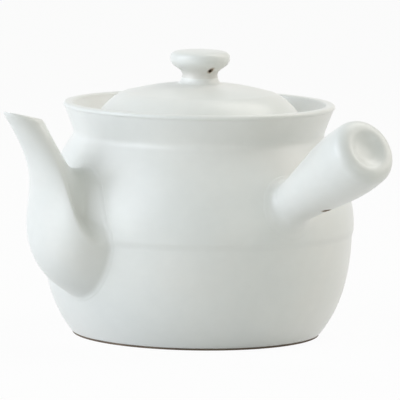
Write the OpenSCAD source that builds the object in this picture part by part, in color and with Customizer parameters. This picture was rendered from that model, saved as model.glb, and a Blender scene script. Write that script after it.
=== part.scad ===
// Side-handled clay pot for simmering herbs: a glazed pot with a spout, a stick handle a quarter turn
// from it, and a lift-off lid. The origin is the middle of the foot, +Z is up, the spout points
// to -X and the handle to -Y.

/* [Pot] */
// Outside diameter of the rim
rim_d = 181.2; // [173:0.1:217]
// Largest outside diameter of the belly
belly_d = 208.6; // [190:0.1:251]
// Outside diameter of the waist between the shoulder and the rim
waist_d = 166.6; // [160:0.1:170]
// Outside diameter of the foot
foot_d = 166.2; // [136:0.1:184]
// Height from the table to the rim
pot_h = 154.7; // [128.5:0.1:186]
// Height of the flared neck, from the waist to the rim
neck_h = 21.2; // [17:0.1:26]
// Thickness of the wall
wall_t = 6; // [4.5:0.1:7.5]
// Thickness of the floor
floor_t = 7; // [5:0.1:10]
// Thickness of the rounded bead round the rim
bead_t = 3.5; // [2.8:0.1:4.5]
// Width of the rim, from its outside to its inside
rim_w = 6.6; // [5:0.1:7.5]
// Height of the join between the two halves of the belly
belly_seam_z = 67.5; // [55:0.5:80]
// Step in the belly at that join
seam_step = 1; // [0.3:0.1:1.2]
// Height over which the step is rounded off
seam_rise = 5; // [2.5:0.1:8]
// Height of the bare foot ring
foot_h = 1.3; // [1.2:0.1:4]
// Width of the bare foot ring
foot_w = 11; // [7:0.5:15]

/* [Lid seat] */
// Depth of the seat below the rim
seat_drop = 10.2; // [8:0.1:12]
// Diameter of the mouth inside the seat
mouth_d = 120; // [100:1:122]
// Thickness of the seat at its inner edge
seat_t = 5; // [4:0.1:6.5]

/* [Lid] */
// Outside diameter of the lid
lid_d = 132; // [126:1:138]
// Height of the lid from its seat to the top of its dome
lid_h = 23.6; // [19.6:0.1:28.4]
// Thickness of the lid
lid_t = 5.2; // [4:0.1:6.5]
// Play between the lid's locating ring and the mouth, on each side
ring_play = 2.4; // [1:0.1:5]
// Depth of the lid's locating ring below the seat
ring_drop = 10; // [6:0.5:14]
// Thickness of the lid's locating ring
ring_t = 5; // [4:0.1:6.5]

/* [Knob] */
// Diameter of the knob
knob_d = 39.8; // [33:0.1:48]
// Height of the knob
knob_h = 21.8; // [17.5:0.1:26]
// Diameter of the knob's neck
knob_neck_d = 23.5; // [20:0.1:26]
// Diameter of the steam way inside the knob
steam_d = 12; // [8:0.5:13]
// Diameter of the vent hole in the knob's neck
vent_d = 3; // [2:0.1:4]
// Turn of the vent hole from the handle, toward the spout
vent_turn = 7; // [0:1:90]

/* [Spout] */
// Reach of the spout beyond the belly, before its lip is rounded over
spout_reach = 57; // [47:0.1:69]
// Height of the pouring lip above the rim, before it is rounded over
lip_rise = 4.8; // [-3:0.1:12]
// Length of the spout's mouth, from back to front
mouth_len = 31.1; // [26:0.1:37]
// Drop of the mouth from its front to its back
mouth_drop = 8.3; // [4:0.1:11]
// Width of the spout's mouth
mouth_w = 21; // [18:0.5:27]
// Width of the spout where it grows out of the belly
root_w = 65; // [54:1:78]
// Height of the low end of the spout's root
root_low_z = 27.7; // [23:0.1:33]
// Height of the spout's root, from its low end to its top
root_h = 84.7; // [70:0.1:92]
// Thickness of the spout's wall
spout_t = 3.6; // [3:0.1:5]
// Share by which the spout is drawn in behind its sides, where it leaves the belly
pinch = 0.45; // [0:0.05:0.5]
// Diameter of the strainer holes in the wall behind the spout
strainer_d = 6.5; // [5:0.1:7.5]
// Number of strainer holes round the middle one
strainer_n = 6; // [4:1:8]
// Radius of the ring of strainer holes
strainer_r = 15; // [12.5:0.5:17]

/* [Handle] */
// Length of the handle along its axis, from the belly to its end
handle_len = 88; // [73:1:106]
// Diameter of the handle at its root
handle_root_d = 29; // [25:0.1:35]
// Diameter of the handle where its rounded lip starts
handle_end_d = 44.4; // [37:0.1:53]
// Swell of the handle's side before the lip
handle_swell = 2.5; // [0:0.1:4]
// Height of the middle of the handle's root
handle_z = 97.2; // [81:0.1:106]
// Rise of the handle above level, in degrees
handle_rise = 29.5; // [20:0.1:40]
// Thickness of the handle's wall
handle_t = 6; // [4.5:0.1:7.5]
// Radius of the rounded lip at the handle's end
handle_lip_r = 7.6; // [6:0.1:9]
// Depth of the dish in the handle's end
dish_depth = 6.5; // [4:0.1:8]
// Diameter of the firing hole under the handle
firing_d = 5.8; // [4:0.1:7]
// Distance of the firing hole from the belly, along the handle
firing_at = 31; // [26:1:40]

/* [Joints] */
// Gap left for the slip between two joined clay pieces
slip = 0.25; // [0.15:0.05:0.5]
// Gap for the glaze between the lid and its seat
glaze_gap = 0.3; // [0.2:0.05:0.5]
// Width of the clay fillet round the spout's root
spout_fillet = 3; // [2:0.5:4.5]
// Width of the clay fillet round the handle's root
handle_fillet = 5; // [3:0.5:7]
// Width of the clay fillet round the knob's root
knob_fillet = 2.5; // [1.5:0.1:3.5]

/* [Hidden] */
$fn = 96;
glaze_color = [0.91, 0.92, 0.91];
clay_color = [0.30, 0.27, 0.24];

// Steps along one curve of an outline, and round and along the spout
curve_n = 14;
spout_round_n = 72;
spout_along_n = 18;
lip_n = 6;
fillet_n = 5;
// Halvings that find where a line along the spout leaves the belly
root_halvings = 22;

// The pot's radii and heights
rim_r = rim_d / 2;
belly_r = belly_d / 2;
waist_r = waist_d / 2;
foot_r = foot_d / 2;
mouth_r = mouth_d / 2;
bead_r = bead_t / 2;
waist_z = pot_h - neck_h;
seat_z = pot_h - seat_drop;
floor_z = foot_h + floor_t;
seat_outer_r = waist_r - wall_t;
flare_r = rim_r - 0.6 * bead_r;
flare_z = pot_h - 1.9 * bead_r;

// The point at the share t of a smooth curve with the control points p, and the list of its points
function curve_at(p, t) =
    len(p) == 1 ? p[0] : curve_at([for (i = [0:len(p) - 2]) (1 - t) * p[i] + t * p[i + 1]], t);
function curve(p, n = curve_n) = [for (i = [0:n]) curve_at(p, i / n)];
// 1 at no distance, falling smoothly to 0 at the reach
function fall(distance, reach) = let (t = min(max(distance / reach, 0), 1)) 1 - t * t * (3 - 2 * t);
// Points on an arc about c from angle a to angle b
function arc(c, r, a, b, n) = [for (i = [0:n]) let (w = a + (b - a) * i / n) c + r * [cos(w), sin(w)]];

// Outline of the pot: from the foot to the join in the belly, to the waist, and up the flared neck
function lower_belly() = curve([
    [foot_r, foot_h],
    [foot_r + 0.58 * (belly_r - foot_r), foot_h + 0.225 * belly_seam_z],
    [belly_r - 1.8, foot_h + 0.515 * belly_seam_z],
    [belly_r - seam_step, belly_seam_z]
]);
function upper_belly() = concat(
    [[belly_r - seam_step, belly_seam_z + slip]],
    curve([
        [belly_r, belly_seam_z + seam_rise],
        [belly_r + 1.8, belly_seam_z + 0.32 * (waist_z - belly_seam_z)],
        [waist_r + 0.71 * (belly_r - waist_r), belly_seam_z + 0.67 * (waist_z - belly_seam_z)],
        [waist_r, waist_z]
    ])
);
function neck() = curve([
    [waist_r, waist_z],
    [waist_r + 1.2, waist_z + 0.33 * (flare_z - waist_z)],
    [flare_r - 2, waist_z + 0.66 * (flare_z - waist_z)],
    [flare_r, flare_z]
]);
function pot_outline() = concat(lower_belly(), upper_belly(), [for (i = [1:curve_n]) neck()[i]]);
belly_table = [for (p = pot_outline()) [p[1], p[0]]];
// Outside radius of the pot at the height z
function belly_at(z) = lookup(z, belly_table);
// The list p from its last point to its first, moved in by the wall's thickness
function inside_of(p) = [for (i = [len(p) - 1:-1:0]) [p[i][0] - wall_t, p[i][1]]];

// Floor and lower wall of the pot, up to the join in the belly
module pot_bowl() {
    corner = 5;
    wall_inside = [for (p = inside_of(lower_belly())) if (p[1] > floor_z + 0.4 * corner) p];
    floor_r = belly_at(floor_z) - wall_t;
    color(glaze_color)
    rotate_extrude()
    polygon(concat(
        lower_belly(),
        wall_inside,
        [[floor_r - 0.3 * corner, floor_z + 0.1 * corner], [floor_r - corner, floor_z]],
        [[0, floor_z], [0, foot_h]]
    ));
}

// Upper wall and shoulder of the pot, from the join in the belly to the waist
module pot_shoulder() {
    color(glaze_color)
    difference() {
        rotate_extrude()
        polygon(concat(upper_belly(), inside_of(upper_belly())));
        translate([-belly_r, 0, strainer_z]) {
            strainer_hole();
            for (i = [0:strainer_n - 1]) {
                rotate([360 * i / strainer_n, 0, 0])
                translate([0, 0, strainer_r])
                strainer_hole();
            }
        }
    }
}

// Flared neck with the beaded rim
module pot_neck() {
    bead = arc([rim_r - bead_r, pot_h - bead_r], bead_r, -40, 90, 8);
    rim_inside = arc([rim_r - rim_w + bead_r, pot_h - bead_r], bead_r, 90, 180, 6);
    cove = 3;
    color(glaze_color)
    rotate_extrude()
    polygon(concat(
        [[waist_r, waist_z + slip]],
        [for (i = [1:curve_n]) neck()[i]],
        bead,
        rim_inside,
        [[seat_outer_r + 0.8 * cove, seat_z + cove], [seat_outer_r, seat_z], [seat_outer_r, waist_z + slip]]
    ));
}

// Ledge inside the neck that the lid rests on
module lid_seat() {
    seat_r = seat_outer_r - slip;
    edge = 1;
    slope = 3;
    color(glaze_color)
    rotate_extrude()
    polygon([
        [seat_r, seat_z],
        [mouth_r + edge, seat_z],
        [mouth_r, seat_z - edge],
        [mouth_r, seat_z - seat_t],
        [mouth_r + edge, seat_z - seat_t - edge],
        [seat_r, seat_z - seat_t - slope]
    ]);
}

module strainer_hole() {
    rotate([0, 90, 0])
    cylinder(d = strainer_d, h = 6 * wall_t, center = true);
}

// Bare ring that the pot stands on
module foot_ring() {
    ring_r = foot_r - 0.4;
    edge = 0.7;
    color(clay_color)
    rotate_extrude()
    polygon([
        [ring_r - foot_w, 0],
        [ring_r - edge, 0],
        [ring_r, edge],
        [ring_r, foot_h - slip],
        [ring_r - foot_w - 1, foot_h - slip]
    ]);
}

// The strainer holes keep clear of the join in the belly
strainer_margin = 3;
strainer_z = belly_seam_z + strainer_r + strainer_d / 2 + strainer_margin;

// The spout's front and back lines, seen from the side, and its half width: both lines start inside
// the belly, and the last share of each is rounded over into the lip
root_top_z = root_low_z + root_h;
lip_z = pot_h + lip_rise;
lip_share = 0.045;
front_start_r = belly_r - 13.7;
back_start_r = belly_r - 22.3;
back_start_z = root_top_z + 2.85;
spout_h = lip_z - root_low_z;
spout_back_h = lip_z - root_top_z;
front_line = [
    [front_start_r, root_low_z],
    [belly_r + 0.425 * spout_reach, root_low_z + 0.116 * spout_h],
    [belly_r + 0.663 * spout_reach, root_low_z + 0.277 * spout_h],
    [belly_r + 0.274 * spout_reach, root_low_z + 0.486 * spout_h],
    [belly_r + 0.289 * spout_reach, root_low_z + 0.619 * spout_h],
    [belly_r + spout_reach, lip_z]
];
back_line = [
    [back_start_r, back_start_z],
    [belly_r + 0.108 * spout_reach, root_top_z + 0.136 * spout_back_h],
    [belly_r - 0.013 * spout_reach, root_top_z - 0.041 * spout_back_h],
    [belly_r + 0.249 * spout_reach, root_top_z + 0.27 * spout_back_h],
    [belly_r + spout_reach - mouth_len, lip_z - mouth_drop]
];
half_width = [root_w / 2 + 3, root_w / 2 + 3, 0.78 * mouth_w, mouth_w / 2];

// The shares along the spout where the pinch starts, is full and ends, and its reach behind the sides
pinch_start = 0.1;
pinch_full = 0.3;
pinch_end = 0.8;
pinch_behind = 0.6;
// Share by which the spout is drawn in at the angle a round it and the share t along it
function pinch_at(a, t) =
    let (behind = 1 - fall(max(-cos(a), 0), pinch_behind))
    let (coming = 1 - fall(t - pinch_start, pinch_full - pinch_start))
    let (going = fall(t - pinch_full, pinch_end - pinch_full))
    pinch * behind * coming * going;
// Point of the spout at the angle a round it and the share t along it, moved out by the distance grow
function spout_point(a, t, grow) =
    let (front = curve_at(front_line, t), back = curve_at(back_line, t))
    let (middle = (front + back) / 2, half = (front - back) / 2)
    let (reach = middle + half * (1 + grow / norm(half)) * cos(a))
    let (side = (curve_at(half_width, t) * (1 - pinch_at(a, t)) + grow) * sin(a))
    [-reach[0], side, reach[1]];
// Distance of a point of the spout from the outside of the belly
function off_belly(p) = norm([p[0], p[1]]) - belly_at(p[2]) - slip;
// Share along the spout at which the line at the angle a leaves the belly, found by halving
function root_share_at(a, grow, lo = 0, hi = 1, n = root_halvings) =
    let (mid = (lo + hi) / 2)
    n == 0 ? hi :
    off_belly(spout_point(a, mid, grow)) > 0
        ? root_share_at(a, grow, lo, mid, n - 1)
        : root_share_at(a, grow, mid, hi, n - 1);

// A closed ring solid from one closed loop of points at each angle
module ring_solid(loops) {
    count = len(loops);
    size = len(loops[0]);
    points = [for (loop = loops) for (p = loop) p];
    faces = [for (i = [0:count - 1]) for (j = [0:size - 1])
        let (i2 = (i + 1) % count, j2 = (j + 1) % size)
        let (a = i * size + j, b = i * size + j2, c = i2 * size + j2, d = i2 * size + j)
        each [[a, b, c], [a, c, d]]];
    polyhedron(points = points, faces = faces);
}

// The lip's rounding at the angle a, from the outside over the end of the wall to the inside
function lip_at(a) =
    let (outside = spout_point(a, 1 - lip_share, 0), inside = spout_point(a, 1 - lip_share, -spout_t))
    let (end_out = spout_point(a, 1, 0), end_in = spout_point(a, 1, -spout_t))
    curve([outside, outside + 0.9 * (end_out - outside), inside + 0.9 * (end_in - inside), inside], lip_n);

module spout() {
    end = 1 - lip_share;
    loops = [for (i = [0:spout_round_n - 1])
        let (a = 360 * i / spout_round_n)
        let (out_root = root_share_at(a, 0), in_root = root_share_at(a, -spout_t))
        concat(
            [for (j = [0:spout_along_n])
                spout_point(a, out_root + (end - out_root) * j / spout_along_n, 0)],
            [for (k = [1:lip_n - 1]) lip_at(a)[k]],
            [for (j = [spout_along_n:-1:0])
                spout_point(a, in_root + (end - in_root) * j / spout_along_n, -spout_t)]
        )];
    color(glaze_color)
    ring_solid(loops);
}

// Clay fillet that closes the join between the spout and the belly
module spout_fillet_ring() {
    middle_z = (root_low_z + root_top_z) / 2;
    loops = [for (i = [0:spout_round_n - 1])
        let (a = 360 * i / spout_round_n)
        let (root = root_share_at(a, slip))
        let (corner = spout_point(a, root, slip))
        let (out = [corner[1], corner[2] - middle_z] / norm([corner[1], corner[2] - middle_z]))
        let (low = on_belly([corner[1], corner[2]] + spout_fillet * out))
        let (high = spout_point(a, root + spout_fillet / 100, slip))
        concat(
            [corner],
            [for (j = [0:fillet_n])
                let (t = j / fillet_n)
                pow(1 - t, 2) * low + 2 * t * (1 - t) * (0.8 * corner + 0.1 * (low + high))
                    + t * t * high]
        )];
    color(glaze_color)
    ring_solid(loops);
}

// The point just off the belly, on the spout's side, with the side and height given in p
function on_belly(p) =
    let (r = belly_at(p[1]) + slip)
    [-sqrt(r * r - p[0] * p[0]), p[0], p[1]];

// The handle's radii, and how far it and its fillet start inside the belly before they are cut to it
handle_root_r = handle_root_d / 2;
handle_end_r = handle_end_d / 2;
handle_sunk = 0.75 * handle_root_r;
lip_start = handle_len - handle_lip_r;
dish_r = handle_end_r - handle_lip_r;

module on_handle_axis() {
    translate([0, -belly_at(handle_z), handle_z])
    rotate([90 - handle_rise, 0, 0])
    children();
}

// Everything inside the pot's outline, grown by the slip gap
module belly_solid() {
    rotate_extrude()
    polygon(concat(
        [[0, foot_h]],
        [for (p = pot_outline()) [p[0] + slip, p[1]]],
        [[0, flare_z]]
    ));
}

module handle() {
    hollow_end = handle_len - dish_depth - handle_t;
    side = curve([
        [handle_root_r, 0],
        [handle_root_r + 0.7, 0.3 * lip_start],
        [handle_end_r + handle_swell, 0.65 * lip_start],
        [handle_end_r, lip_start]
    ]);
    dish = curve([
        [dish_r - 3, handle_len - 0.9],
        [0.62 * dish_r, handle_len - 0.55 * dish_depth],
        [0.42 * dish_r, handle_len - dish_depth],
        [0, handle_len - dish_depth]
    ], 8);
    lip = arc([dish_r, lip_start], handle_lip_r, 0, 100, 8);
    hollow = [
        [0, hollow_end],
        [0.5 * dish_r, hollow_end],
        [handle_end_r - handle_t - 3, hollow_end - 5],
        [handle_end_r - handle_t - 1, hollow_end - 14],
        [handle_root_r - handle_t, 0],
        [handle_root_r - handle_t, -handle_sunk]
    ];
    color(glaze_color)
    difference() {
        on_handle_axis()
        rotate_extrude()
        polygon(concat([[handle_root_r, -handle_sunk]], side, lip, dish, hollow));
        belly_solid();
        on_handle_axis()
        translate([0, 0, firing_at])
        rotate([90, 0, 0])
        cylinder(d = firing_d, h = handle_end_r);
    }
}

// Clay fillet that closes the join between the handle and the belly
module handle_fillet_ring() {
    inner_r = handle_root_r + slip;
    taper_r = 0.6;
    top = handle_fillet + 5;
    color(glaze_color)
    difference() {
        on_handle_axis()
        rotate_extrude()
        polygon(concat(
            [[inner_r + taper_r, top], [inner_r, -handle_sunk], [inner_r + handle_fillet, -handle_sunk]],
            curve([
                [inner_r + handle_fillet, -1],
                [inner_r + 0.45 * handle_fillet, 0.1 * handle_fillet],
                [inner_r + 0.3 * handle_fillet, 0.6 * handle_fillet],
                [inner_r + taper_r + 0.1, top]
            ], fillet_n)
        ));
        belly_solid();
    }
}

// The lid's outline: its domed top from the middle to its shoulder, and down to the edge
shoulder_share = 0.76;
lid_r = lid_d / 2;
lid_z = seat_z + glaze_gap;
dome_z = seat_z + lid_h;
steam_r = steam_d / 2;
ring_r = mouth_r - ring_play;
function dome_top() = curve([
    [0, dome_z],
    [0.36 * lid_r, dome_z],
    [0.55 * lid_r, dome_z - 0.14 * lid_h],
    [shoulder_share * lid_r, dome_z - 0.28 * lid_h]
]);
function dome_side() = curve([
    [shoulder_share * lid_r, dome_z - 0.28 * lid_h],
    [0.86 * lid_r, dome_z - 0.38 * lid_h],
    [0.95 * lid_r, dome_z - 0.62 * lid_h],
    [lid_r, seat_z + 0.18 * lid_h]
], 8);
dome_table = concat(dome_top(), [for (i = [1:8]) dome_side()[i]]);
// Height of the dome's top at the radius r
function dome_at(r) = lookup(r, dome_table);

module lid_dome() {
    outer = [for (p = dome_table) if (p[0] > steam_r) p];
    inner = [for (i = [len(dome_table) - 1:-1:0])
        let (p = dome_table[i])
        if (p[0] > steam_r && p[0] < 0.92 * lid_r) [p[0] - 0.02 * lid_t, p[1] - lid_t]];
    edge = [
        [lid_r, lid_z + 1],
        [lid_r - 1, lid_z],
        [ring_r - ring_t, lid_z],
        [ring_r - ring_t, dome_at(0.92 * lid_r) - lid_t]
    ];
    color(glaze_color)
    rotate_extrude()
    polygon(concat(
        [[steam_r, dome_at(steam_r)]],
        outer,
        edge,
        inner,
        [[steam_r, dome_at(steam_r) - lid_t]]
    ));
}

// Ring under the lid that keeps it centred in the mouth
module lid_ring() {
    top_z = lid_z - slip;
    edge = 1.2;
    color(clay_color)
    rotate_extrude()
    polygon([
        [ring_r - ring_t, top_z],
        [ring_r - ring_t, seat_z - ring_drop + edge],
        [ring_r - ring_t + edge, seat_z - ring_drop],
        [ring_r - edge, seat_z - ring_drop],
        [ring_r, seat_z - ring_drop + edge],
        [ring_r, top_z]
    ]);
}

// The knob's outline: a narrow neck under a wide rounded top
knob_r = knob_d / 2;
knob_neck_r = knob_neck_d / 2;
function knob_foot_z(r) = dome_at(r) + slip;
module lid_knob() {
    base_z = knob_foot_z(knob_neck_r);
    top_z = dome_z + knob_h;
    wide_z = base_z + 0.76 * knob_h;
    root_r = knob_neck_r + 1;
    under = curve([
        [knob_neck_r, base_z + 0.26 * knob_h],
        [knob_neck_r + 0.3, base_z + 0.47 * knob_h],
        [knob_r, base_z + 0.48 * knob_h],
        [knob_r, wide_z]
    ]);
    over = curve([
        [knob_r, wide_z],
        [knob_r, base_z + 0.95 * knob_h],
        [0.93 * knob_r, top_z],
        [0, top_z]
    ]);
    hollow_z = base_z + 0.62 * knob_h;
    hollow = [
        [0, hollow_z + 0.4 * steam_r],
        [0.6 * steam_r, hollow_z + 0.25 * steam_r],
        [steam_r, hollow_z - 1]
    ];
    color(glaze_color)
    difference() {
        rotate_extrude()
        polygon(concat(
            [[steam_r, knob_foot_z(steam_r)], [root_r, knob_foot_z(root_r)]],
            under,
            [for (i = [1:curve_n]) over[i]],
            hollow
        ));
        translate([0, 0, base_z + 0.43 * knob_h])
        rotate([90, 0, -vent_turn])
        cylinder(d = vent_d, h = knob_r);
    }
}

// Clay fillet that closes the join between the knob and the dome
module knob_fillet_ring() {
    inner_r = knob_neck_r + 1 + slip;
    outer_r = inner_r + knob_fillet;
    color(glaze_color)
    rotate_extrude()
    polygon([
        [inner_r, knob_foot_z(inner_r)],
        [outer_r, knob_foot_z(outer_r)],
        [inner_r + 0.35 * knob_fillet, knob_foot_z(inner_r) + 0.4 * knob_fillet],
        [inner_r, knob_foot_z(inner_r) + 0.9 * knob_fillet]
    ]);
}

pot_bowl();
pot_shoulder();
pot_neck();
lid_seat();
foot_ring();
spout();
spout_fillet_ring();
handle();
handle_fillet_ring();
lid_dome();
lid_ring();
lid_knob();
knob_fillet_ring();
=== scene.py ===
from math import cos, pi, radians, sin, sqrt

import bmesh
import bpy
import numpy as np
from mathutils import Matrix, Quaternion, Vector

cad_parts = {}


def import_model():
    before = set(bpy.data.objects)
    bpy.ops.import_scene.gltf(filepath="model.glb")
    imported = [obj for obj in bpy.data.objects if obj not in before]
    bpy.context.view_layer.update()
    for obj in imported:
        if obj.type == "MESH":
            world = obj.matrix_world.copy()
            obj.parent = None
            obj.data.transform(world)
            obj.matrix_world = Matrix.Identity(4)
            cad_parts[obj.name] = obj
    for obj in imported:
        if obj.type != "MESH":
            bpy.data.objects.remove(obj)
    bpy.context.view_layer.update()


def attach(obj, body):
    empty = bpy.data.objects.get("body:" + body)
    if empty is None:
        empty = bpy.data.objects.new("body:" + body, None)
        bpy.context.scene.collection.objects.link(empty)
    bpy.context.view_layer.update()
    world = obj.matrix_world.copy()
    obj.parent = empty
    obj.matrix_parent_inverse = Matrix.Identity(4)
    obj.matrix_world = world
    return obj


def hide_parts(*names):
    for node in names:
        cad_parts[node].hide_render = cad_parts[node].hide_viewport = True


MM = 0.001
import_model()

# Driving sizes, the same as those of part.scad
RIM_R = 90.6 * MM
BELLY_R = 104.3 * MM
WAIST_R = 83.3 * MM
FOOT_R = 83.1 * MM
POT_H = 154.7 * MM
NECK_H = 21.2 * MM
WALL = 6 * MM
FLOOR = 7 * MM
BEAD_R = 1.75 * MM
RIM_W = 6.6 * MM
SEAM_Z = 67.5 * MM
SEAM_SOFT = 5 * MM
FOOT_H = 1.3 * MM
FOOT_W = 11 * MM
SEAT_DROP = 10.2 * MM
MOUTH_R = 60 * MM
SEAT_T = 5 * MM
LID_R = 66 * MM
LID_H = 23.6 * MM
LID_T = 5.2 * MM
LID_GAP = 0.3 * MM
RING_R = 57.6 * MM
RING_DROP = 10 * MM
RING_T = 5 * MM
KNOB_R = 19.9 * MM
KNOB_H = 21.8 * MM
KNOB_NECK_R = 11.75 * MM
STEAM_R = 6 * MM
VENT_D = 3 * MM
VENT_TURN = 7
KNOB_FILLET = 2.5 * MM
SPOUT_REACH = 57 * MM
LIP_RISE = 4.8 * MM
SPOUT_MOUTH = 31.1 * MM
SPOUT_MOUTH_DROP = 8.3 * MM
SPOUT_MOUTH_W = 21 * MM
ROOT_W = 65 * MM
ROOT_LOW_Z = 27.7 * MM
ROOT_H = 84.7 * MM
SPOUT_T = 3.6 * MM
PINCH = 0.45
SPOUT_FILLET = 3 * MM
STRAINER_D = 6.5 * MM
STRAINER_N = 6
STRAINER_R = 15 * MM
HANDLE_LEN = 88 * MM
HANDLE_ROOT_R = 14.5 * MM
HANDLE_END_R = 22.2 * MM
HANDLE_SWELL = 2.5 * MM
HANDLE_Z = 97.2 * MM
HANDLE_RISE = 29.5
HANDLE_T = 6 * MM
HANDLE_LIP_R = 7.6 * MM
FIRING_D = 5.8 * MM
FIRING_AT = 31 * MM

# Heights and radii that follow from them
WAIST_Z = POT_H - NECK_H
SEAT_Z = POT_H - SEAT_DROP
FLOOR_Z = FOOT_H + FLOOR
SEAT_R = WAIST_R - WALL
FLARE_R = RIM_R - 0.6 * BEAD_R
FLARE_Z = POT_H - 1.9 * BEAD_R
DOME_Z = SEAT_Z + LID_H
KNOB_TOP = DOME_Z + KNOB_H
ROOT_TOP_Z = ROOT_LOW_Z + ROOT_H
LIP_Z = POT_H + LIP_RISE
STRAINER_Z = SEAM_Z + STRAINER_R + STRAINER_D / 2 + 3 * MM

# Sizes that part.scad gives other values. Glaze softens the step at the belly's join, the dish and the
# handle's fillet. The pinch starts nearer the pot, ends nearer the mouth and takes in more of the sides.
SEAM_STEP = 0.9 * MM
DISH = 4 * MM
HANDLE_FILLET = 6 * MM
PINCH_FRONT = 0.3
PINCH_WIDTH = 0.5
PINCH_START = 0.06
PINCH_FULL = 0.23
PINCH_END = 0.95

# Sizes that only the looks have, from here on: the waist's bend, and the rounding of the spout's lip
WAIST_SOFT = 3 * MM
LIP_SHARE = 0.045
LIP_BEAD = 0.8 * MM
LIP_PULL = 0.9

# The fillets: the height and place of their outer edges, the share of the spout that gives its direction,
# how deep they are set into the clay, and the handle's fillet from its narrow side to its wide one
EDGE_H = 0.35 * MM
EDGE_IN = 0.25
SPOUT_STEP = 0.02
BURIED = 0.8 * MM
ON_HANDLE = 0.02 * MM
FILLET_LEAST = 0.6
FILLET_SPREAD = 0.9
FILLET_NARROW = radians(60)
FILLET_EDGE = 0.85

# How much clay shows through the thin glaze at a hole, how much of the clay's tone is painted as shade round
# the knob's neck under its cap, and how far round each hole
HOLE_THIN = 0.8
NECK_SHADE = 0.22
HOLE_REACH = 1.2 * MM
VENT_REACH = 1.6 * MM

# Steps of the meshes
TURNS = 240
FINE_TURNS = 160
CURVE_N = 90
ARC_N = 10
BEND_N = 8
SPOUT_ROUND = 180
SPOUT_ALONG = 90
HOLE_TURNS = 40
HALVINGS = 26
SHARP = radians(38)

# The glaze: cells of each noise in a metre, tones and gloss as ramps, and depths of the bumps
GLAZE_DRIFT = 14
GLAZE_CLOUD = 90
GLAZE_SKIN = 520
GLAZE_TONES = [
    (0.3, (0.778, 0.795, 0.786)), (0.5, (0.803, 0.814, 0.798)), (0.7, (0.815, 0.814, 0.791))]
GLAZE_MOTTLE = [(0.3, 0.975), (0.7, 1.0)]
GLAZE_GLOSS = [(0.3, 0.28), (0.7, 0.34)]
GLAZE_IOR = 1.5
RING_SCALE = 45
RING_DEPTH = 0.00006
SKIN_DEPTH = 0.00004
# The clay's tone, showing through thin glaze at the holes and painted as shade round the knob's neck
CLAY_AND_SHADE_TONE = (0.36, 0.27, 0.19)

# The bare clay, in the same way
CLAY_PATCH = 60
CLAY_GRAIN = 1400
CLAY_TONES = [
    (0.3, (0.115, 0.082, 0.058)), (0.55, (0.175, 0.130, 0.095)), (0.75, (0.25, 0.195, 0.15))]
CLAY_SPECKS = [(0.35, 0.7), (0.6, 1.0)]
CLAY_DEPTH = 0.0002
CLAY_ROUGHNESS = 0.85

# The floor's grey, and the lamps' distance from the pot
FLOOR_GREY = (0.72, 0.72, 0.72, 1)
LAMP_DISTANCE = 1.7


# ---- Points of outlines ----

def curve_at(points, t):
    """The point at the share t of a smooth curve with the given control points."""
    p = np.array(points, float)
    while len(p) > 1:
        p = (1 - t) * p[:-1] + t * p[1:]
    return p[0]


def curve(points, count=CURVE_N):
    """Points of a smooth curve with the given control points."""
    return np.array([curve_at(points, t) for t in np.linspace(0, 1, count + 1)])


def arc(centre, radius, start, end, count=ARC_N):
    """Points of an arc from one angle to another, in degrees."""
    angles = np.radians(np.linspace(start, end, count + 1))
    return np.array(centre) + radius * np.stack([np.cos(angles), np.sin(angles)], 1)


def rounded(corner, before, after, radius, count=ARC_N // 2):
    """Points that round a corner between the points before and after it."""
    corner, before, after = (np.array(p, float) for p in (corner, before, after))
    start = corner + radius * (before - corner) / np.linalg.norm(before - corner)
    end = corner + radius * (after - corner) / np.linalg.norm(after - corner)
    t = np.linspace(0, 1, count + 1)[:, None]
    return (1 - t) ** 2 * start + 2 * t * (1 - t) * corner + t * t * end


def outline(*parts):
    """One closed outline from lists of points and (corner, radius) pairs between them."""
    flat = []
    for part in parts:
        if isinstance(part, tuple):
            flat.append((np.array(part[0], float), part[1]))
        else:
            flat.extend((np.array(p, float), 0) for p in part)
    points = []
    for i, (p, radius) in enumerate(flat):
        if radius:
            points.extend(rounded(p, flat[i - 1][0], flat[(i + 1) % len(flat)][0], radius))
        else:
            points.append(p)
    return np.array(points)


def fall(distance, reach):
    """1 at no distance, falling smoothly to 0 at the reach."""
    t = min(max(distance / reach, 0), 1)
    return 1 - t * t * (3 - 2 * t)


def lower_belly():
    return curve([
        (FOOT_R, FOOT_H),
        (FOOT_R + 0.58 * (BELLY_R - FOOT_R), FOOT_H + 0.225 * SEAM_Z),
        (BELLY_R - 1.8 * MM, FOOT_H + 0.515 * SEAM_Z),
        (BELLY_R - SEAM_STEP, SEAM_Z)])


def upper_belly():
    """The belly above its join, stepped in softly to meet the lower half."""
    rise = WAIST_Z - SEAM_Z
    line = curve([
        (BELLY_R, SEAM_Z),
        (BELLY_R + 1.8 * MM, SEAM_Z + 0.32 * rise),
        (WAIST_R + 0.71 * (BELLY_R - WAIST_R), SEAM_Z + 0.67 * rise),
        (WAIST_R, WAIST_Z)])
    step = [(SEAM_STEP * fall(z - SEAM_Z, SEAM_SOFT), 0) for _, z in line]
    return line - np.array(step)


def neck():
    rise = FLARE_Z - WAIST_Z
    return curve([
        (WAIST_R, WAIST_Z),
        (WAIST_R + 1.2 * MM, WAIST_Z + 0.33 * rise),
        (FLARE_R - 2 * MM, WAIST_Z + 0.66 * rise),
        (FLARE_R, FLARE_Z)])


def waist():
    """The shoulder and the neck with a soft bend between them, cut where they meet."""
    below = [p for p in upper_belly() if p[1] < WAIST_Z - WAIST_SOFT]
    above = [p for p in neck() if p[1] > WAIST_Z + WAIST_SOFT]
    turn = curve([below[-1], (WAIST_R - 0.4 * MM, WAIST_Z), above[0]], 2 * BEND_N)
    return np.concatenate([below[:-1], turn[:BEND_N + 1]]), np.concatenate([turn[BEND_N:], above[1:]])


LOWER = lower_belly()
SHOULDER, NECK = waist()
BELLY_LINE = np.concatenate([LOWER, SHOULDER[1:], NECK[1:]])


def belly_at(z):
    """Outside radius of the pot at the height z."""
    return float(np.interp(z, BELLY_LINE[:, 1], BELLY_LINE[:, 0]))


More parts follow.
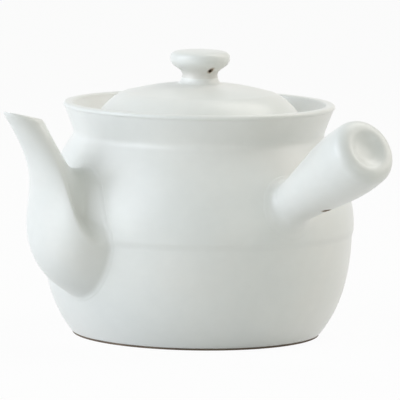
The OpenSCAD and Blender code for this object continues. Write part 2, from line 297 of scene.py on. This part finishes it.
def leaves_belly(point_at, low, high):
    """The place between low and high at which a line of points leaves the belly."""
    for _ in range(HALVINGS):
        middle = (low + high) / 2
        x, y, z = point_at(middle)
        if sqrt(x * x + y * y) > belly_at(z):
            high = middle
        else:
            low = middle
    return high


# ---- Meshes ----

def skin(name, loops):
    """A closed mesh from closed loops of points, each joined to the next and the last to the first."""
    count, size = len(loops), len(loops[0])
    points = [tuple(p) for loop in loops for p in loop]
    faces = []
    for i in range(count):
        i2 = (i + 1) % count
        for j in range(size):
            j2 = (j + 1) % size
            faces.append((i * size + j, i * size + j2, i2 * size + j2, i2 * size + j))
    mesh = bpy.data.meshes.new(name)
    mesh.from_pydata(points, [], faces)
    bm = bmesh.new()
    bm.from_mesh(mesh)
    bmesh.ops.remove_doubles(bm, verts=bm.verts, dist=1e-6)
    bmesh.ops.recalc_face_normals(bm, faces=bm.faces)
    bm.to_mesh(mesh)
    bm.free()
    piece = bpy.data.objects.new(name, mesh)
    bpy.context.scene.collection.objects.link(piece)
    return piece


def lathe(name, profile, turns=TURNS, place=None):
    """A closed mesh turned about Z from a closed outline of (radius, height) points."""
    loops = []
    for i in range(turns):
        a = 2 * pi * i / turns
        loop = [Vector((r * cos(a), r * sin(a), z)) for r, z in profile]
        loops.append([place @ p for p in loop] if place else loop)
    return skin(name, loops)


def rod(name, radius, length, place):
    """A round cutter with its middle at the origin of place and its length along the local Z."""
    profile = [(0, -length / 2), (radius, -length / 2), (radius, length / 2), (0, length / 2)]
    return lathe(name, profile, HOLE_TURNS, place)


def cut(piece, cutters):
    """Cuts the cutters out of the piece and removes them."""
    for cutter in cutters:
        modifier = piece.modifiers.new("cut", "BOOLEAN")
        modifier.operation = "DIFFERENCE"
        modifier.solver = "EXACT"
        modifier.object = cutter
    bpy.context.view_layer.update()
    whole = piece.evaluated_get(bpy.context.evaluated_depsgraph_get())
    mesh = bpy.data.meshes.new_from_object(whole)
    piece.modifiers.clear()
    piece.data = mesh
    for cutter in cutters:
        bpy.data.objects.remove(cutter)


def thin_glaze_and_shade(piece, drill, radius, length, reach, shade_z=0.0, shade_reach=0.0):
    """Marks the glaze as thin round a hole, so that the clay shows through, and paints shade in the clay's
    tone round the knob's narrow neck, under its cap.

    The hole lies along the local Z of drill. What lies further along it than length stays plain.
    """
    away = drill.inverted()
    marks = piece.data.attributes.new("thin_glaze_and_shade", "FLOAT", "POINT")
    for vertex, mark in zip(piece.data.vertices, marks.data):
        x, y, z = away @ vertex.co
        share = HOLE_THIN * fall(sqrt(x * x + y * y) - radius, reach) * (abs(z) < length)
        # Painted shade under the knob's cap, in the clay's tone
        if shade_reach:
            share = max(share, NECK_SHADE * fall(abs(vertex.co.z - shade_z), shade_reach))
        mark.value = share


def settle(piece, body, material, node):
    """Shades the piece, gives it its material, and puts it in the place of its CAD node."""
    mesh = piece.data
    mesh.materials.clear()
    mesh.materials.append(material)
    mesh.shade_smooth()
    mesh.set_sharp_from_angle(angle=SHARP)
    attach(piece, body)
    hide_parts(node)


# ---- Materials ----

def node_tree(name):
    """A new material and its Principled shader."""
    material = bpy.data.materials.new(name)
    material.use_nodes = True
    return material, material.node_tree.nodes["Principled BSDF"]


def linked(material, start, out, end, into):
    """Joins the output of one node to the input of another."""
    material.node_tree.links.new(start.outputs[out], end.inputs[into])


def add_node(material, kind, **settings):
    """A new node whose inputs and settings are given by name."""
    node = material.node_tree.nodes.new(kind)
    for key, value in settings.items():
        if key in node.inputs:
            node.inputs[key].default_value = value
        else:
            setattr(node, key, value)
    return node


def noise(material, scale, detail=3.0, roughness=0.5):
    """Noise in the row frame's own coordinates; scale is in cells per metre."""
    coords = add_node(material, "ShaderNodeTexCoord")
    texture = add_node(material, "ShaderNodeTexNoise", Scale=scale, Detail=detail, Roughness=roughness)
    linked(material, coords, "Object", texture, "Vector")
    return texture


def ramp(material, source, out, stops):
    """A colour ramp over a number, from (place, grey or colour) stops."""
    node = add_node(material, "ShaderNodeValToRGB")
    linked(material, source, out, node, "Fac")
    elements = node.color_ramp.elements
    while len(elements) < len(stops):
        elements.new(0.5)
    for element, (place, colour) in zip(elements, stops):
        element.position = place
        rgb = (colour,) * 3 if isinstance(colour, (int, float)) else colour
        element.color = (*rgb, 1)
    return node


def mix_colour(material, share, share_out, first, second, blend="MIX"):
    """Mixes two colours; each is a fixed colour or a (node, output) pair."""
    node = add_node(material, "ShaderNodeMix", data_type="RGBA", blend_type=blend)
    if isinstance(share, (int, float)):
        node.inputs[0].default_value = share
    else:
        linked(material, share, share_out, node, 0)
    for slot, colour in ((6, first), (7, second)):
        if isinstance(colour, tuple) and not isinstance(colour[0], (int, float)):
            linked(material, *colour, node, slot)
        else:
            node.inputs[slot].default_value = (*colour, 1)
    return node


def bump(material, height, out, distance, strength, normal=None):
    """A bump node over a height, on top of another bump node where one is given."""
    node = add_node(material, "ShaderNodeBump", Strength=strength, Distance=distance)
    linked(material, height, out, node, "Height")
    if normal:
        linked(material, normal, "Normal", node, "Normal")
    return node


def glaze_material():
    """Satin white glaze: a faint drift of tone, faint throwing rings, a fine skin, a thin edge at the holes,
    and painted shade at the knob's neck.
    """
    material, shader = node_tree("glaze_white_satin")
    drift = noise(material, GLAZE_DRIFT, 4)
    tone = ramp(material, drift, "Fac", GLAZE_TONES)
    cloud = noise(material, GLAZE_CLOUD, 5, 0.6)
    mottle = ramp(material, cloud, "Fac", GLAZE_MOTTLE)
    base = mix_colour(material, 1.0, None, (tone, "Color"), (mottle, "Color"), "MULTIPLY")
    # The clay's tone where the glaze is thin at a hole, and as painted shade round the knob's neck
    thin_and_shade = add_node(material, "ShaderNodeAttribute", attribute_name="thin_glaze_and_shade")
    clay_and_shade = mix_colour(material, thin_and_shade, "Fac", (base, 2), CLAY_AND_SHADE_TONE)
    linked(material, clay_and_shade, 2, shader, "Base Color")
    gloss = ramp(material, cloud, "Fac", GLAZE_GLOSS)
    linked(material, gloss, "Color", shader, "Roughness")
    coords = add_node(material, "ShaderNodeTexCoord")
    rings = add_node(material, "ShaderNodeTexWave", bands_direction="Z", Scale=RING_SCALE, Distortion=1.6,
                     Detail=2, **{"Detail Scale": 3.0})
    linked(material, coords, "Object", rings, "Vector")
    throwing = bump(material, rings, "Fac", RING_DEPTH, 0.5)
    skin_noise = noise(material, GLAZE_SKIN, 3)
    peel = bump(material, skin_noise, "Fac", SKIN_DEPTH, 0.35, throwing)
    linked(material, peel, "Normal", shader, "Normal")
    shader.inputs["IOR"].default_value = GLAZE_IOR
    return material


def clay_material():
    """Bare fired clay: dark brown-grey and grainy."""
    material, shader = node_tree("bare_fired_clay")
    patches = noise(material, CLAY_PATCH, 5, 0.6)
    tone = ramp(material, patches, "Fac", CLAY_TONES)
    grains = noise(material, CLAY_GRAIN, 2, 0.7)
    speck = ramp(material, grains, "Fac", CLAY_SPECKS)
    base = mix_colour(material, 1.0, None, (tone, "Color"), (speck, "Color"), "MULTIPLY")
    linked(material, base, 2, shader, "Base Color")
    grain = bump(material, grains, "Fac", CLAY_DEPTH, 0.5)
    linked(material, grain, "Normal", shader, "Normal")
    shader.inputs["Roughness"].default_value = CLAY_ROUGHNESS
    return material


# ---- The pot ----

def pot_bowl(glaze):
    inner = [(r - WALL, z) for r, z in LOWER[::-1] if z > FLOOR_Z + 9 * MM]
    profile = outline(
        [(0, FOOT_H)],
        ((FOOT_R, FOOT_H), 0.9 * MM),
        LOWER[2:],
        inner,
        ((belly_at(FLOOR_Z + 4 * MM) - WALL, FLOOR_Z), 8 * MM),
        [(0, FLOOR_Z)])
    piece = lathe("pot_bowl_glazed", profile)
    settle(piece, "pot", glaze, "pot_bowl")


def strainer_place(angle, radius):
    """The place of one strainer hole on the spout's side, its length along X."""
    turn = radians(angle)
    spot = Matrix.Translation((-BELLY_R, radius * sin(turn), STRAINER_Z + radius * cos(turn)))
    return spot @ Matrix.Rotation(pi / 2, 4, "Y")


def pot_shoulder(glaze):
    profile = outline(SHOULDER, [(r - WALL, z) for r, z in SHOULDER[::-1]])
    piece = lathe("pot_shoulder_glazed", profile)
    holes = [(0, 0)] + [(360 * i / STRAINER_N, STRAINER_R) for i in range(STRAINER_N)]
    cut(piece, [rod("cutter", STRAINER_D / 2, 6 * WALL, strainer_place(*hole)) for hole in holes])
    settle(piece, "pot", glaze, "pot_shoulder")


def pot_neck(glaze):
    profile = outline(
        NECK,
        arc((RIM_R - BEAD_R, POT_H - BEAD_R), BEAD_R, -40, 90, 2 * ARC_N),
        arc((RIM_R - RIM_W + BEAD_R, POT_H - BEAD_R), BEAD_R, 90, 180),
        ((SEAT_R + 2.5 * MM, SEAT_Z + 3 * MM), 1.5 * MM),
        [(SEAT_R, SEAT_Z), (SEAT_R, NECK[0][1])])
    piece = lathe("pot_neck_glazed", profile)
    settle(piece, "pot", glaze, "pot_neck")


def lid_seat(glaze):
    edge = 1 * MM
    profile = outline(
        [(SEAT_R, SEAT_Z)],
        ((MOUTH_R, SEAT_Z), edge),
        ((MOUTH_R, SEAT_Z - SEAT_T), edge),
        [(SEAT_R, SEAT_Z - SEAT_T - 3 * MM)])
    piece = lathe("lid_seat_glazed", profile)
    settle(piece, "pot", glaze, "lid_seat")


def foot_ring(clay):
    outside = FOOT_R - 0.4 * MM
    inside = outside - FOOT_W
    profile = outline(
        ((inside, 0), 1 * MM),
        ((outside, 0), 0.8 * MM),
        [(outside, FOOT_H), (inside - 1 * MM, FOOT_H)])
    piece = lathe("foot_ring_bare", profile)
    settle(piece, "pot", clay, "foot_ring")


# ---- The spout ----

SPOUT_H = LIP_Z - ROOT_LOW_Z
SPOUT_BACK_H = LIP_Z - ROOT_TOP_Z
FRONT_LINE = [
    (BELLY_R - 13.7 * MM, ROOT_LOW_Z),
    (BELLY_R + 0.425 * SPOUT_REACH, ROOT_LOW_Z + 0.116 * SPOUT_H),
    (BELLY_R + 0.663 * SPOUT_REACH, ROOT_LOW_Z + 0.277 * SPOUT_H),
    (BELLY_R + 0.274 * SPOUT_REACH, ROOT_LOW_Z + 0.486 * SPOUT_H),
    (BELLY_R + 0.289 * SPOUT_REACH, ROOT_LOW_Z + 0.619 * SPOUT_H),
    (BELLY_R + SPOUT_REACH, LIP_Z)]
BACK_LINE = [
    (BELLY_R - 22.3 * MM, ROOT_TOP_Z + 2.85 * MM),
    (BELLY_R + 0.108 * SPOUT_REACH, ROOT_TOP_Z + 0.136 * SPOUT_BACK_H),
    (BELLY_R - 0.013 * SPOUT_REACH, ROOT_TOP_Z - 0.041 * SPOUT_BACK_H),
    (BELLY_R + 0.249 * SPOUT_REACH, ROOT_TOP_Z + 0.27 * SPOUT_BACK_H),
    (BELLY_R + SPOUT_REACH - SPOUT_MOUTH, LIP_Z - SPOUT_MOUTH_DROP)]
HALF_WIDTH = [ROOT_W / 2 + 3 * MM, ROOT_W / 2 + 3 * MM, 0.78 * SPOUT_MOUTH_W, SPOUT_MOUTH_W / 2]


def pinch(a, t):
    """Share by which the clay behind the spout's sides is drawn in, between the tube and the belly."""
    behind = 1 - fall(max(PINCH_FRONT - cos(a), 0), PINCH_WIDTH)
    grows = 1 - fall(t - PINCH_START, PINCH_FULL - PINCH_START)
    fades = fall(t - PINCH_FULL, PINCH_END - PINCH_FULL)
    return PINCH * behind * (grows * fades)


def spout_point(a, t, grow):
    """Point of the spout at the angle a round it and the share t along it, moved out by grow."""
    front, back = curve_at(FRONT_LINE, t), curve_at(BACK_LINE, t)
    middle, half = (front + back) / 2, (front - back) / 2
    reach = middle + half * (1 + grow / np.linalg.norm(half)) * cos(a)
    side = (curve_at(HALF_WIDTH, t) * (1 - pinch(a, t)) + grow) * sin(a)
    return np.array([-reach[0], side, reach[1]])


def root_share(a, grow):
    """Share along the spout at which the line at the angle a leaves the belly."""
    return leaves_belly(lambda t: spout_point(a, t, grow), 0.0, 1.0)


def lip(a):
    """The rounding of the lip at the angle a, from the outside over the wall's end to the inside."""
    outside, inside = (spout_point(a, 1 - LIP_SHARE, grow) for grow in (0, -SPOUT_T))
    end_out, end_in = (spout_point(a, 1, grow) for grow in (LIP_BEAD, -SPOUT_T))
    over_out = outside + LIP_PULL * (end_out - outside)
    over_in = inside + LIP_PULL * (end_in - inside)
    return curve([outside, over_out, over_in, inside], 2 * ARC_N)


def spout(glaze):
    end = 1 - LIP_SHARE
    loops = []
    for i in range(SPOUT_ROUND):
        a = 2 * pi * i / SPOUT_ROUND
        outside = [spout_point(a, t, 0) for t in np.linspace(root_share(a, 0), end, SPOUT_ALONG)]
        inside = [spout_point(a, t, -SPOUT_T) for t in np.linspace(end, root_share(a, -SPOUT_T), SPOUT_ALONG)]
        loops.append(outside + list(lip(a)[1:-1]) + inside)
    piece = skin("spout_glazed", loops)
    settle(piece, "pot", glaze, "spout")


def on_belly(y, z, grow=0.0):
    """Point of the belly on the spout's side at the sideways place y and the height z."""
    r = belly_at(z) + grow
    return np.array([-sqrt(r * r - y * y), y, z])


def bend(start, corner, end, count):
    """Points of a smooth bend from start to end, pulled toward the corner."""
    t = np.linspace(0, 1, count + 1)[:, None]
    return (1 - t) ** 2 * start + 2 * t * (1 - t) * corner + t * t * end


def spout_fillet(glaze):
    """Clay fillet round the spout's root, flowing from the belly into the spout."""
    middle_z = (ROOT_LOW_Z + ROOT_TOP_Z) / 2
    loops = []
    for i in range(SPOUT_ROUND):
        a = 2 * pi * i / SPOUT_ROUND
        root = root_share(a, 0)
        corner = spout_point(a, root, 0)
        out = np.array([corner[1], corner[2] - middle_z])
        out = out / np.linalg.norm(out) * SPOUT_FILLET
        low = on_belly(corner[1] + out[0], corner[2] + out[1])
        up = spout_point(a, root + SPOUT_STEP, 0) - corner
        high = corner + up / np.linalg.norm(up) * SPOUT_FILLET
        edge = on_belly(low[1] - EDGE_IN * out[0], low[2] - EDGE_IN * out[1], EDGE_H)
        buried = corner + np.array([BURIED, 0, 0])
        loops.append([buried, low] + list(bend(edge, corner, high, ARC_N)))
    piece = skin("spout_fillet_glazed", loops)
    settle(piece, "pot", glaze, "spout_fillet_ring")


# ---- The handle ----

def handle_place():
    """The handle's own frame: its root on the belly, its Z along the handle."""
    root = Matrix.Translation((0, -belly_at(HANDLE_Z), HANDLE_Z))
    return root @ Matrix.Rotation(radians(90 - HANDLE_RISE), 4, "X")


def belly_cutter():
    """Everything inside the pot's outline."""
    profile = np.concatenate([[(0, FOOT_H)], BELLY_LINE, [(0, FLARE_Z)]])
    return lathe("belly_cutter", profile)


LIP_START = HANDLE_LEN - HANDLE_LIP_R
DISH_R = HANDLE_END_R - HANDLE_LIP_R


def handle_profile():
    sunk = 0.75 * HANDLE_ROOT_R
    hollow_end = HANDLE_LEN - DISH - HANDLE_T
    side = curve([
        (HANDLE_ROOT_R, 0),
        (HANDLE_ROOT_R + 0.7 * MM, 0.3 * LIP_START),
        (HANDLE_END_R + HANDLE_SWELL, 0.65 * LIP_START),
        (HANDLE_END_R, LIP_START)])
    dish = curve([
        (DISH_R - 1.9 * MM, HANDLE_LEN - 0.3 * MM),
        (0.74 * DISH_R, HANDLE_LEN - 0.8 * MM),
        (0.58 * DISH_R, HANDLE_LEN - DISH),
        (0.3 * DISH_R, HANDLE_LEN - DISH),
        (0, HANDLE_LEN - DISH)])
    hollow = [
        (0, hollow_end),
        (0.5 * DISH_R, hollow_end),
        (HANDLE_END_R - HANDLE_T - 3 * MM, hollow_end - 5 * MM),
        (HANDLE_END_R - HANDLE_T - 1 * MM, hollow_end - 14 * MM),
        (HANDLE_ROOT_R - HANDLE_T, 0),
        (HANDLE_ROOT_R - HANDLE_T, -sunk)]
    rim = arc((DISH_R, LIP_START), HANDLE_LIP_R, 0, 100, 3 * BEND_N)
    return outline([(HANDLE_ROOT_R, -sunk)], side, rim, dish, hollow)


def handle(glaze):
    """Hollow stick handle with a dished end and the firing hole under it."""
    place = handle_place()
    piece = lathe("handle_glazed", handle_profile(), FINE_TURNS, place)
    drill = place @ Matrix.Translation((0, -HANDLE_END_R / 2, FIRING_AT)) @ Matrix.Rotation(pi / 2, 4, "X")
    cut(piece, [belly_cutter(), rod("cutter", FIRING_D / 2, HANDLE_END_R, drill)])
    thin_glaze_and_shade(piece, drill, FIRING_D / 2, HANDLE_END_R, HOLE_REACH)
    settle(piece, "pot", glaze, "handle")


def handle_root_point(a, s, radius):
    """Point at the angle a round the handle's axis, at the distance s along it."""
    return np.array(handle_place() @ Vector((radius * cos(a), radius * sin(a), s)))


def below_handle(x, z, grow=0.0):
    """Point of the belly on the handle's side at the sideways place x and the height z."""
    r = belly_at(z) + grow
    return np.array([x, -sqrt(r * r - x * x), z])


def handle_fillet(glaze):
    """Clay fillet round the handle's root, flowing from the belly into the handle."""
    centre = np.array(handle_place().translation)
    loops = []
    for i in range(FINE_TURNS):
        a = 2 * pi * i / FINE_TURNS
        root = leaves_belly(lambda s: handle_root_point(a, s, HANDLE_ROOT_R),
                            -0.9 * HANDLE_ROOT_R, 1.2 * HANDLE_ROOT_R)
        corner = handle_root_point(a, root, HANDLE_ROOT_R)
        out = corner - centre
        flat = np.array([out[0], out[2]]) / np.linalg.norm([out[0], out[2]])
        width = HANDLE_FILLET * (FILLET_LEAST + FILLET_SPREAD * (1 - cos(a - FILLET_NARROW)) / 2)
        foot = below_handle(corner[0] + flat[0] * width, corner[2] + flat[1] * width)
        near = flat * FILLET_EDGE * width
        edge = below_handle(corner[0] + near[0], corner[2] + near[1], EDGE_H)
        top = handle_root_point(a, root + width, HANDLE_ROOT_R + ON_HANDLE)
        buried = corner + np.array([0, BURIED, 0])
        loops.append([buried, foot] + list(bend(edge, corner, top, ARC_N)))
    piece = skin("handle_fillet_glazed", loops)
    settle(piece, "pot", glaze, "handle_fillet_ring")


# ---- The lid ----

def dome_line():
    top = curve([
        (0, DOME_Z),
        (0.36 * LID_R, DOME_Z),
        (0.55 * LID_R, DOME_Z - 0.14 * LID_H),
        (0.76 * LID_R, DOME_Z - 0.28 * LID_H)])
    side = curve([
        (0.76 * LID_R, DOME_Z - 0.28 * LID_H),
        (0.86 * LID_R, DOME_Z - 0.38 * LID_H),
        (0.95 * LID_R, DOME_Z - 0.62 * LID_H),
        (LID_R, SEAT_Z + 0.18 * LID_H)])
    return np.concatenate([top, side[1:]])


DOME_LINE = dome_line()


def dome_at(r):
    """Height of the lid's top at the radius r."""
    return float(np.interp(r, DOME_LINE[:, 0], DOME_LINE[:, 1]))


def lid_dome(glaze):
    base = SEAT_Z + LID_GAP
    outer = [p for p in DOME_LINE if p[0] > STEAM_R]
    inner = [(r, z - LID_T) for r, z in DOME_LINE[::-1] if STEAM_R < r < 0.9 * LID_R]
    profile = outline(
        [(STEAM_R, dome_at(STEAM_R))],
        outer,
        ((LID_R, base), 1.2 * MM),
        ((RING_R - RING_T, base), 0.5 * MM),
        [(RING_R - RING_T, dome_at(0.9 * LID_R) - LID_T - 1 * MM)],
        inner,
        [(STEAM_R, dome_at(STEAM_R) - LID_T)])
    piece = lathe("lid_dome_glazed", profile)
    settle(piece, "lid", glaze, "lid_dome")


def lid_ring(clay):
    top = SEAT_Z + LID_GAP
    inside = RING_R - RING_T
    profile = outline(
        [(inside, top)],
        ((inside, SEAT_Z - RING_DROP), 1.2 * MM),
        ((RING_R, SEAT_Z - RING_DROP), 1.2 * MM),
        [(RING_R, top)])
    piece = lathe("lid_ring_bare", profile)
    settle(piece, "lid", clay, "lid_ring")


def lid_knob(glaze):
    base = dome_at(KNOB_NECK_R)
    wide = base + 0.76 * KNOB_H
    hollow = base + 0.62 * KNOB_H
    under = curve([
        (KNOB_NECK_R, base + 0.26 * KNOB_H),
        (KNOB_NECK_R + 0.3 * MM, base + 0.47 * KNOB_H),
        (KNOB_R, base + 0.48 * KNOB_H),
        (KNOB_R, wide)])
    over = curve([
        (KNOB_R, wide),
        (KNOB_R, base + 0.95 * KNOB_H),
        (0.93 * KNOB_R, KNOB_TOP),
        (0, KNOB_TOP)])
    profile = outline(
        [(STEAM_R, dome_at(STEAM_R)), (KNOB_NECK_R + 1 * MM, dome_at(KNOB_NECK_R + 1 * MM))],
        under,
        over[1:],
        [(0, hollow + 0.4 * STEAM_R), (0.6 * STEAM_R, hollow + 0.25 * STEAM_R), (STEAM_R, hollow - 1 * MM)])
    piece = lathe("lid_knob_glazed", profile, FINE_TURNS)
    turn = Matrix.Translation((0, 0, base + 0.43 * KNOB_H)) @ Matrix.Rotation(radians(-VENT_TURN), 4, "Z")
    drill = turn @ Matrix.Translation((0, -KNOB_R / 2, 0)) @ Matrix.Rotation(pi / 2, 4, "X")
    cut(piece, [rod("cutter", VENT_D / 2, KNOB_R, drill)])
    # The clay's tone is also painted round the knob's neck, as painted shade under the knob's cap
    thin_glaze_and_shade(piece, drill, VENT_D / 2, KNOB_R, VENT_REACH, base + 0.25 * KNOB_H, 0.5 * KNOB_H)
    settle(piece, "lid", glaze, "lid_knob")


def knob_fillet(glaze):
    inner = KNOB_NECK_R
    outer = KNOB_NECK_R + 1 * MM + KNOB_FILLET
    low = np.array([outer, dome_at(outer)])
    corner = np.array([inner + 0.6 * MM, dome_at(inner) + 0.4 * MM])
    high = np.array([inner, dome_at(inner) + 0.26 * KNOB_H])
    profile = np.concatenate([[(inner - 0.3 * MM, dome_at(inner))], bend(low, corner, high, ARC_N)])
    piece = lathe("knob_fillet_glazed", profile, FINE_TURNS)
    settle(piece, "lid", glaze, "knob_fillet_ring")


# ---- Floor, light and camera ----

def white_ray(nodes, links):
    """1 for camera, glossy and transmission rays, 0 for the light on the object."""
    path = nodes.new("ShaderNodeLightPath")
    first = nodes.new("ShaderNodeMath")
    first.operation = "MAXIMUM"
    links.new(path.outputs["Is Camera Ray"], first.inputs[0])
    links.new(path.outputs["Is Glossy Ray"], first.inputs[1])
    second = nodes.new("ShaderNodeMath")
    second.operation = "MAXIMUM"
    links.new(first.outputs[0], second.inputs[0])
    links.new(path.outputs["Is Transmission Ray"], second.inputs[1])
    return second


def floor(radius=6.0, turns=96, white=0.95):
    """A pale floor that looks white and keeps the pot's soft shadow."""
    mesh = bpy.data.meshes.new("floor")
    bm = bmesh.new()
    bmesh.ops.create_circle(bm, cap_ends=True, radius=radius, segments=turns)
    bm.to_mesh(mesh)
    bm.free()
    piece = bpy.data.objects.new("floor", mesh)
    bpy.context.scene.collection.objects.link(piece)
    material = bpy.data.materials.new("floor_white")
    material.use_nodes = True
    nodes, links = material.node_tree.nodes, material.node_tree.links
    nodes.remove(nodes["Principled BSDF"])
    diffuse = nodes.new("ShaderNodeBsdfDiffuse")
    diffuse.inputs["Color"].default_value = FLOOR_GREY
    glow = nodes.new("ShaderNodeEmission")
    rays = white_ray(nodes, links)
    share = nodes.new("ShaderNodeMath")
    share.operation = "MULTIPLY"
    share.inputs[1].default_value = white
    links.new(rays.outputs[0], share.inputs[0])
    blend = nodes.new("ShaderNodeMixShader")
    links.new(share.outputs[0], blend.inputs[0])
    links.new(diffuse.outputs[0], blend.inputs[1])
    links.new(glow.outputs[0], blend.inputs[2])
    links.new(blend.outputs[0], nodes["Material Output"].inputs["Surface"])
    mesh.materials.append(material)


def world(ambient=0.31, tint=(0.93, 1.0, 0.84)):
    """White behind everything, and an even pale light on the object."""
    scene_world = bpy.data.worlds.new("studio")
    scene_world.use_nodes = True
    bpy.context.scene.world = scene_world
    nodes, links = scene_world.node_tree.nodes, scene_world.node_tree.links
    light = nodes["Background"]
    light.inputs["Color"].default_value = (*tint, 1)
    light.inputs["Strength"].default_value = ambient
    white = nodes.new("ShaderNodeBackground")
    white.inputs["Color"].default_value = (1, 1, 1, 1)
    white.inputs["Strength"].default_value = 1
    blend = nodes.new("ShaderNodeMixShader")
    rays = white_ray(nodes, links)
    links.new(rays.outputs[0], blend.inputs[0])
    links.new(light.outputs[0], blend.inputs[1])
    links.new(white.outputs[0], blend.inputs[2])
    links.new(blend.outputs[0], nodes["World Output"].inputs["Surface"])


def softbox(name, azimuth, elevation, width, height, radiance, colour):
    """An area light that faces the pot. Azimuth 0 is the handle's side, -90 the spout's."""
    data = bpy.data.lights.new(name, "AREA")
    data.shape = "RECTANGLE"
    data.size, data.size_y = width, height
    data.energy = radiance * width * height * pi
    data.color = colour
    lamp = bpy.data.objects.new(name, data)
    bpy.context.scene.collection.objects.link(lamp)
    az, el = radians(azimuth), radians(elevation)
    away = Vector((sin(az) * cos(el), -cos(az) * cos(el), sin(el)))
    lamp.location = away * LAMP_DISTANCE + Vector((0, 0, POT_H / 2))
    lamp.rotation_euler = (-away).to_track_quat("-Z", "Y").to_euler()


def camera(azimuth=-37.5, elevation=6.8, distance=3.056, lens=411.7, aim_z=0.0892, aim_side=0.0015,
           roll=0.946):
    """The camera at the photograph's viewing angle."""
    data = bpy.data.cameras.new("camera")
    data.lens, data.sensor_width = lens, 36
    data.clip_end = 100
    view = bpy.data.objects.new("camera", data)
    bpy.context.scene.collection.objects.link(view)
    az, el = radians(azimuth), radians(elevation)
    away = Vector((sin(az) * cos(el), -cos(az) * cos(el), sin(el)))
    right = Vector((cos(az), sin(az), 0))
    view.location = Vector((0, 0, aim_z)) + right * aim_side + away * distance
    turn = (-away).to_track_quat("-Z", "Y") @ Quaternion((0, 0, 1), radians(roll))
    view.rotation_euler = turn.to_euler()
    bpy.context.scene.camera = view


def stage():
    """Floor, world, lamps and camera."""
    floor()
    world()
    softbox("low_left", -107.5, 7.6, 1.5, 0.63, 3.1, (0.88, 0.945, 1.0))
    softbox("high_left", -102.5, 30, 1.8, 1.0, 2.7, (0.85, 0.87, 0.97))
    softbox("back_right", 82.5, 60, 1.0, 1.0, 2.9, (1.0, 0.98, 0.96))
    softbox("side_right", 62.5, 30, 1.0, 1.0, 2.1, (1.0, 0.92, 0.90))
    softbox("low_right", -2.5, 7.6, 1.0, 0.63, 1.5, (1.0, 1.0, 0.97))
    camera()
    bpy.context.scene.view_settings.view_transform = "Standard"


def build():
    """Every piece of the pot and the lid, each in the place of its CAD node."""
    glaze, clay = glaze_material(), clay_material()
    pot_bowl(glaze)
    pot_shoulder(glaze)
    pot_neck(glaze)
    lid_seat(glaze)
    foot_ring(clay)
    spout(glaze)
    spout_fillet(glaze)
    handle(glaze)
    handle_fillet(glaze)
    lid_dome(glaze)
    lid_ring(clay)
    lid_knob(glaze)
    knob_fillet(glaze)


build()
stage()
